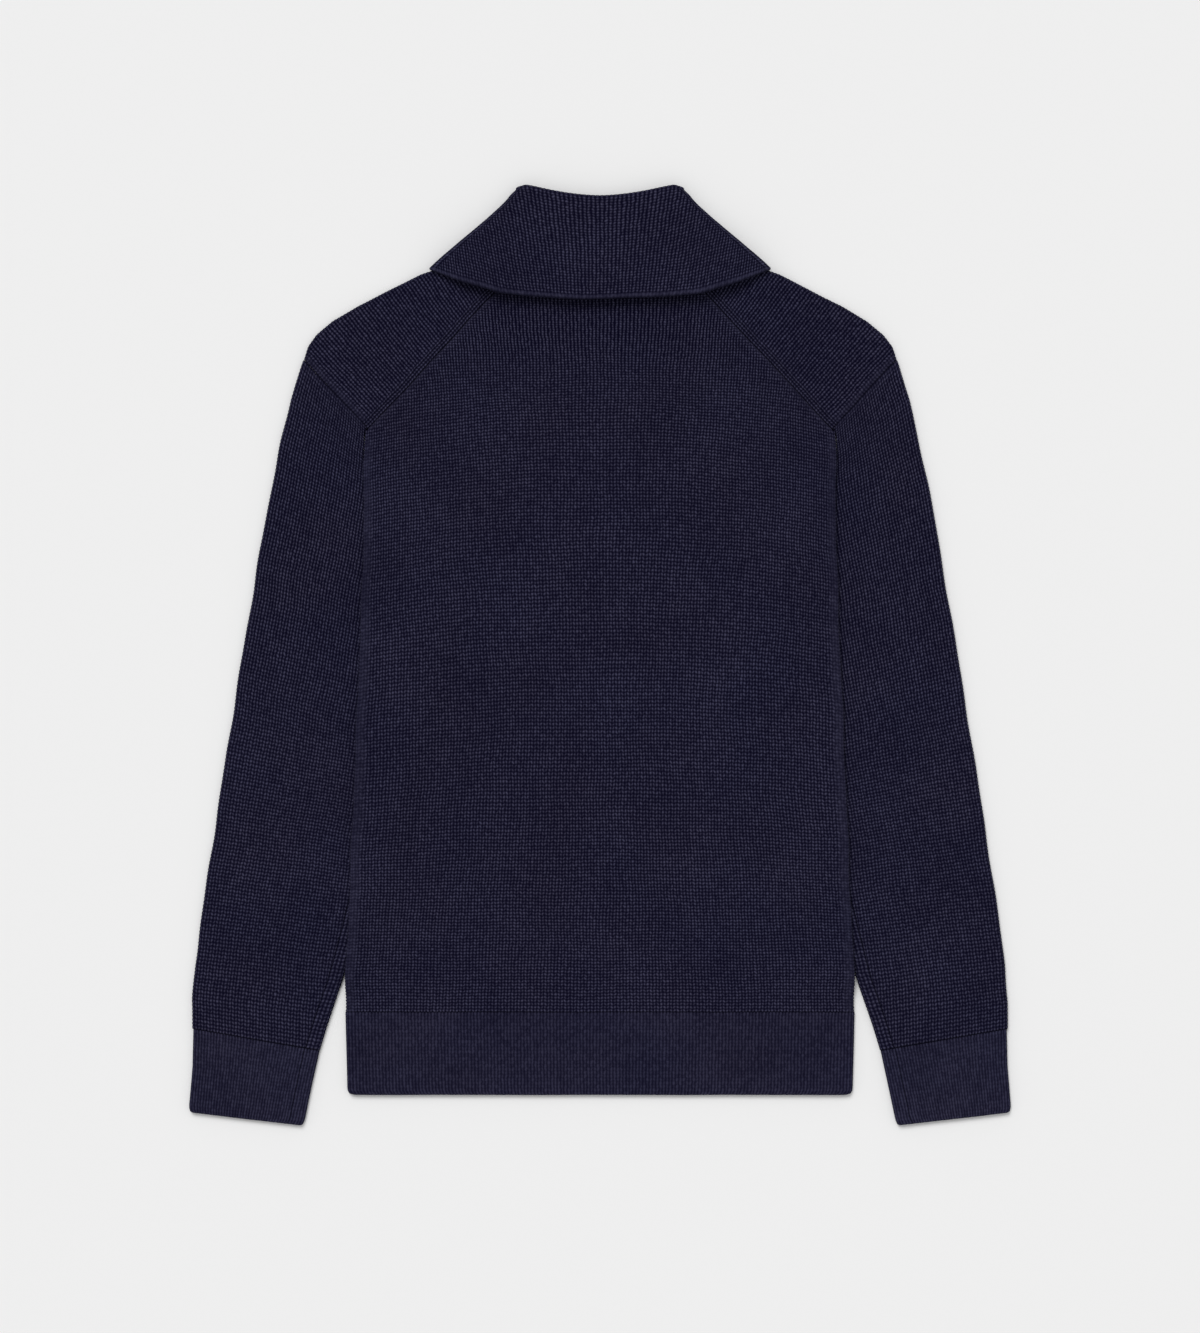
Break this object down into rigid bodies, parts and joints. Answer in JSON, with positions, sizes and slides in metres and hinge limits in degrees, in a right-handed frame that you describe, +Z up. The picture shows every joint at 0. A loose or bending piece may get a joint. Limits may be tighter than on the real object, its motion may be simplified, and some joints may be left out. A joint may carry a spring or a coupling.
{
  "type": "quarter button sweater, laid face down",
  "caption": "Heavy knit pullover with a turned-down collar and a short buttoned placket, laid flat on its front with the sleeves drawn down beside the body.",
  "frame": {"origin": "on the surface the sweater lies on, under the middle of its outline", "axes": "+X to the right of the back as seen from above, +Y towards the collar, +Z up, out of the surface"},
  "size_m": [0.6908, 0.7906, 0.0134],
  "materials": {
    "knit": "matte navy half cardigan knit",
    "rib": "matte navy one by one rib",
    "button": "dark horn, satin"
  },
  "bodies": {
    "root": {"front": "knit", "back": "knit", "sleeve_left": "knit", "sleeve_right": "knit", "collar": "knit", "hem_front": "rib", "hem_back": "rib", "cuff_left": "rib", "cuff_right": "rib", "placket_outer": "rib", "placket_under": "rib", "button_1": "button", "button_2": "button", "button_3": "button"}
  },
  "joints": []
}
